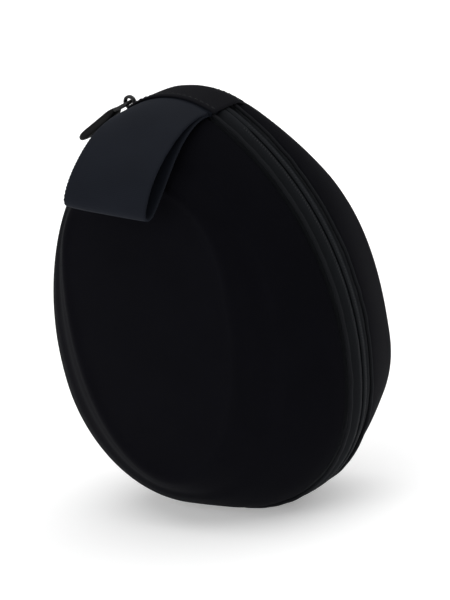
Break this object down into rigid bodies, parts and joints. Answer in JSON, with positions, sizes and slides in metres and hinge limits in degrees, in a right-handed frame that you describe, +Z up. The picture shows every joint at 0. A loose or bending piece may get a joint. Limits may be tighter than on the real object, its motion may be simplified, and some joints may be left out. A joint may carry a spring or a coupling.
{
  "type": "headphone carrying case",
  "caption": "Egg-shaped zipped clamshell case of fabric over moulded foam for over-ear headphones, with a hinged lid, webbing loop handle, mesh pocket and zipper pull.",
  "frame": {"origin": "centre of the case's footprint box, on the plane it stands on", "axes": "+Z up, towards the hinge and handle; the lid and the strap face -Y; X runs across the case's width"},
  "size_m": [0.167, 0.1218, 0.2035],
  "materials": {
    "cover_fabric": "closely woven polyester with a faint sheen",
    "tab_fabric": "smooth woven polyester",
    "eva_foam": "moulded closed-cell foam, matt",
    "lining_fabric": "brushed tricot",
    "binding_tape": "ribbed bias tape",
    "piping_fabric": "woven polyester over cord",
    "zipper_tape": "herringbone woven tape",
    "nylon_coil": "nylon monofilament",
    "pocket_mesh": "warp-knitted mesh",
    "elastic_band": "ribbed woven elastic",
    "strap_webbing": "flat woven polyester webbing",
    "slider_metal": "satin black enamel on die-cast zinc",
    "grip_rubber": "matt moulded rubber"
  },
  "bodies": {
    "back": {"back_cover": "cover_fabric", "back_core": "eva_foam", "back_lining": "lining_fabric", "back_binding": "binding_tape", "back_piping": "piping_fabric", "back_zipper_tape": "zipper_tape", "back_zipper_coil": "nylon_coil", "hinge_tab": "tab_fabric", "hinge_web": "binding_tape"},
    "lid": {"lid_cover": "cover_fabric", "lid_core": "eva_foam", "lid_lining": "lining_fabric", "lid_binding": "binding_tape", "lid_piping": "piping_fabric", "lid_zipper_tape": "zipper_tape", "lid_zipper_coil": "nylon_coil", "lid_tape_end": "zipper_tape", "lid_coil_end": "nylon_coil", "mesh_pocket": "pocket_mesh", "pocket_elastic": "elastic_band", "strap_tail": "strap_webbing"},
    "strap": {"handle_strap": "strap_webbing"},
    "slider": {"slider_body": "slider_metal", "slider_crown": "slider_metal"},
    "pull": {"pull_link": "slider_metal", "pull_grip": "grip_rubber"}
  },
  "joints": [
    {"name": "lid_open", "type": "hinge", "parent": "back", "child": "lid", "pos_m": [0, 0.00815, 0.2026], "axis": [-1, 0, 0], "range_deg": [0, 100], "deforming": ["hinge_tab", "hinge_web", "lid_tape_end", "lid_coil_end"]},
    {"name": "strap_swing", "type": "hinge", "parent": "lid", "child": "strap", "pos_m": [0, -0.002, 0.2025], "axis": [-1, 0, 0], "range_deg": [0, 110]},
    {"name": "slider_run", "type": "hinge", "parent": "back", "child": "slider", "pos_m": [0.05295, 0.00815, 0.0825], "axis": [0, -1, 0], "range_deg": [0, 60]},
    {"name": "pull_flip", "type": "hinge", "parent": "slider", "child": "pull", "pos_m": [-0.03048, 0.00815, 0.19641], "axis": [0, 1, 0], "range_deg": [0, 110]}
  ]
}
